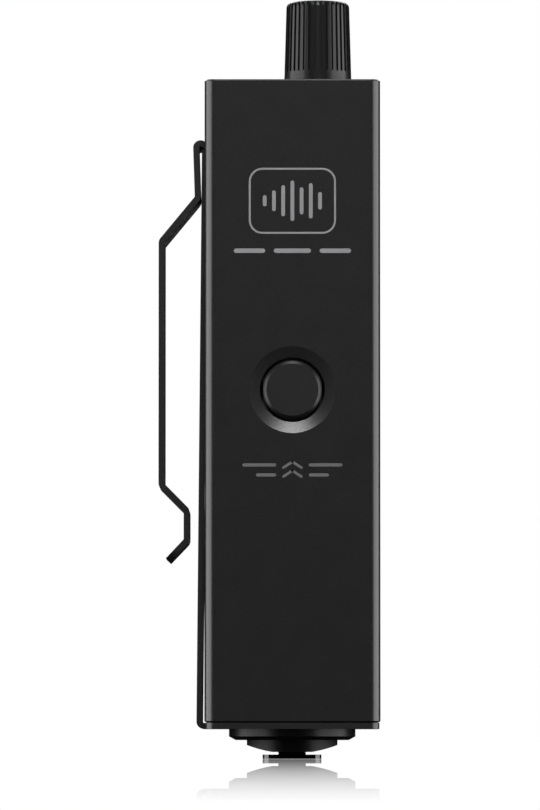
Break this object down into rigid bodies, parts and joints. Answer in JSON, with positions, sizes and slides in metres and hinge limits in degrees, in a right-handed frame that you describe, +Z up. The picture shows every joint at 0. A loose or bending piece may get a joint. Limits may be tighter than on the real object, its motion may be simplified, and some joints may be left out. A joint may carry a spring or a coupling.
{
  "type": "wired in-ear monitor bodypack",
  "caption": "Slim belt-worn headphone amplifier pack with a slide-off case, spring clip, volume knob, release button and a latching three-pin input receptacle.",
  "frame": {"origin": "on the input receptacle's axis, at the collar's front face", "axes": "+Z up the pack towards the volume knob, +X the worn front, -X the belt clip, -Y the face with the release button"},
  "size_m": [0.0422, 0.03, 0.1446],
  "materials": {
    "case": "black anodised, fine bead blast",
    "sheet": "black powder coat, satin",
    "knob": "black anodised, turned",
    "button": "black, fine texture",
    "shell": "black, satin",
    "insert": "black",
    "chrome": "black chrome, polished",
    "contact": "gold flashed",
    "steel": "zinc plated",
    "screw": "black oxide",
    "frame": "black moulded",
    "board": "green solder mask",
    "chip": "moulded black",
    "can": "plain can",
    "ferrite": "sintered",
    "cell": "plain dark jacket",
    "wire": "insulation",
    "white": "white",
    "lens": "light green lens"
  },
  "bodies": {
    "chassis": {"bottom_plate": "sheet", "plate_screws": "screw", "panel_screws": "screw", "inner_frame": "frame", "top_panel": "sheet", "main_board": "board", "board_screws": "steel", "amplifier_chip": "chip", "small_chips": "chip", "capacitors": "can", "inductor": "ferrite", "chip_parts": "white", "input_header": "white", "input_wires": "wire", "battery_holder": "frame", "battery_cell_1": "cell", "battery_cell_2": "cell", "battery_springs": "steel", "battery_contacts": "steel", "receptacle_shell": "shell", "receptacle_insert": "insert", "receptacle_contacts": "contact", "receptacle_retainer": "steel", "tab_pin": "steel", "tab_spring": "steel", "pot_body": "chip", "pot_bushing": "contact", "pot_washer": "steel", "pot_nut": "steel", "jack_body": "chip", "jack_bushing": "steel", "jack_nut": "steel", "jack_contacts": "contact", "status_light": "lens", "mode_switch": "steel"},
    "sleeve": {"case_sleeve": "case"},
    "release_button": {"release_button": "button"},
    "clip_arm": {"clip_arm": "sheet"},
    "push_tab": {"push_tab": "chrome"},
    "volume_knob": {"volume_knob": "knob", "knob_pointer": "white", "pot_shaft": "steel"},
    "mode_slider": {"mode_slider": "white"}
  },
  "joints": [
    {"name": "sleeve_slide", "type": "slide", "parent": "chassis", "child": "sleeve", "axis": [0, 0, 1], "range_m": [0, 0.08]},
    {"name": "release_press", "type": "hinge", "parent": "chassis", "child": "release_button", "pos_m": [0, -0.01255, 0.044], "axis": [-1, 0, 0], "range_deg": [0, 4.5], "stiffness_Nm_per_rad": 0.9, "deforming": ["release_button"]},
    {"name": "clip_open", "type": "hinge", "parent": "chassis", "child": "clip_arm", "pos_m": [-0.01751, 0, 0.113], "axis": [0, 1, 0], "range_deg": [0, 7], "stiffness_Nm_per_rad": 9, "springref_deg": -1.15},
    {"name": "tab_rock", "type": "hinge", "parent": "chassis", "child": "push_tab", "pos_m": [0, 0.011, 0.0085], "axis": [1, 0, 0], "range_deg": [0, 6], "stiffness_Nm_per_rad": 0.6, "springref_deg": -1.15, "deforming": ["tab_spring"]},
    {"name": "volume_turn", "type": "hinge", "parent": "chassis", "child": "volume_knob", "pos_m": [0.0049, -0.0055, 0.13], "axis": [0, 0, -1], "range_deg": [0, 300]},
    {"name": "mode_slide", "type": "slide", "parent": "chassis", "child": "mode_slider", "axis": [0, 0, 1], "range_m": [0, 0.002]}
  ]
}
